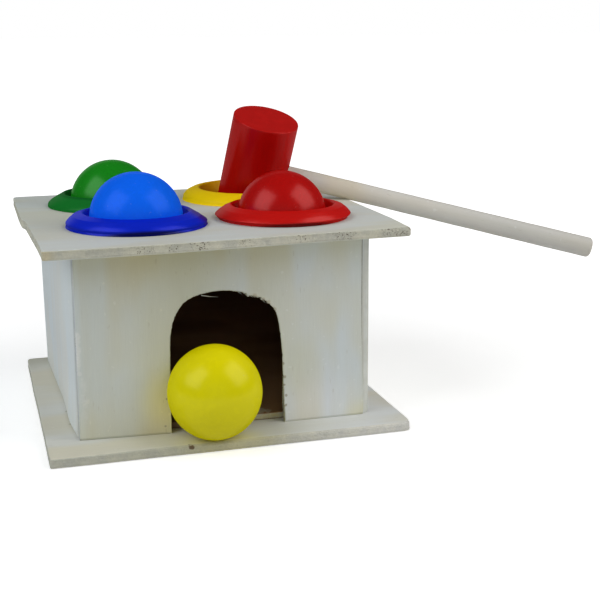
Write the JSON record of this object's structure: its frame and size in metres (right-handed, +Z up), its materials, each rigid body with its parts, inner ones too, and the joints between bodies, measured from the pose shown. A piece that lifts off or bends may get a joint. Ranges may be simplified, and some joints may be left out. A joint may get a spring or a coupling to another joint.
{
  "type": "ball pounding toy",
  "caption": "Small plywood house with elastic rings in its top, wooden balls seated in them, a hammer to drive each ball through, and a ramp to an arched doorway where it rolls out.",
  "frame": {"origin": "middle of the base board's underside, where the toy stands", "axes": "+Z up, -Y towards the front with the arched doorway, +X to the right of someone who looks at the doorway"},
  "size_m": [0.2065, 0.128, 0.1021],
  "materials": {
    "plywood": "bare, lightly sanded",
    "green_lacquer": "gloss paint on turned wood",
    "blue_lacquer": "gloss paint on turned wood",
    "red_lacquer": "gloss paint on turned wood",
    "yellow_lacquer": "gloss paint on turned wood",
    "green_elastic": "soft elastic plastic, satin",
    "blue_elastic": "soft elastic plastic, satin",
    "red_elastic": "soft elastic plastic, satin",
    "yellow_elastic": "soft elastic plastic, satin",
    "dowel": "bare, sanded dowel"
  },
  "bodies": {
    "house": {"base_board": "plywood", "front_panel": "plywood", "back_panel": "plywood", "left_side_panel": "plywood", "right_side_panel": "plywood", "ramp_board": "plywood", "top_board": "plywood", "green_ring": "green_elastic", "blue_ring": "blue_elastic", "red_ring": "red_elastic", "yellow_ring": "yellow_elastic"},
    "green_ball": {"green_ball": "green_lacquer"},
    "blue_ball": {"blue_ball": "blue_lacquer"},
    "red_ball": {"red_ball": "red_lacquer"},
    "yellow_ball": {"yellow_ball": "yellow_lacquer"},
    "hammer": {"hammer_head": "red_lacquer", "hammer_handle": "dowel"}
  },
  "joints": [
    {"name": "green_ball_drop", "type": "slide", "parent": "house", "child": "green_ball", "axis": [0, 0, 1], "range_m": [-0.0278, 0], "deforming": ["green_ring"]},
    {"name": "blue_ball_drop", "type": "slide", "parent": "house", "child": "blue_ball", "axis": [0, 0, 1], "range_m": [-0.0428, 0], "deforming": ["blue_ring"]},
    {"name": "red_ball_drop", "type": "slide", "parent": "house", "child": "red_ball", "axis": [0, 0, 1], "range_m": [-0.0411, 0], "deforming": ["red_ring"]},
    {"name": "yellow_ball_roll", "type": "slide", "parent": "house", "child": "yellow_ball", "axis": [0.4853, 0.8405, 0.241], "range_m": [0, 0.05]},
    {"name": "hammer_lift", "type": "slide", "parent": "house", "child": "hammer", "axis": [0.1209, -0.3295, 0.9364], "range_m": [0, 0.07]}
  ]
}
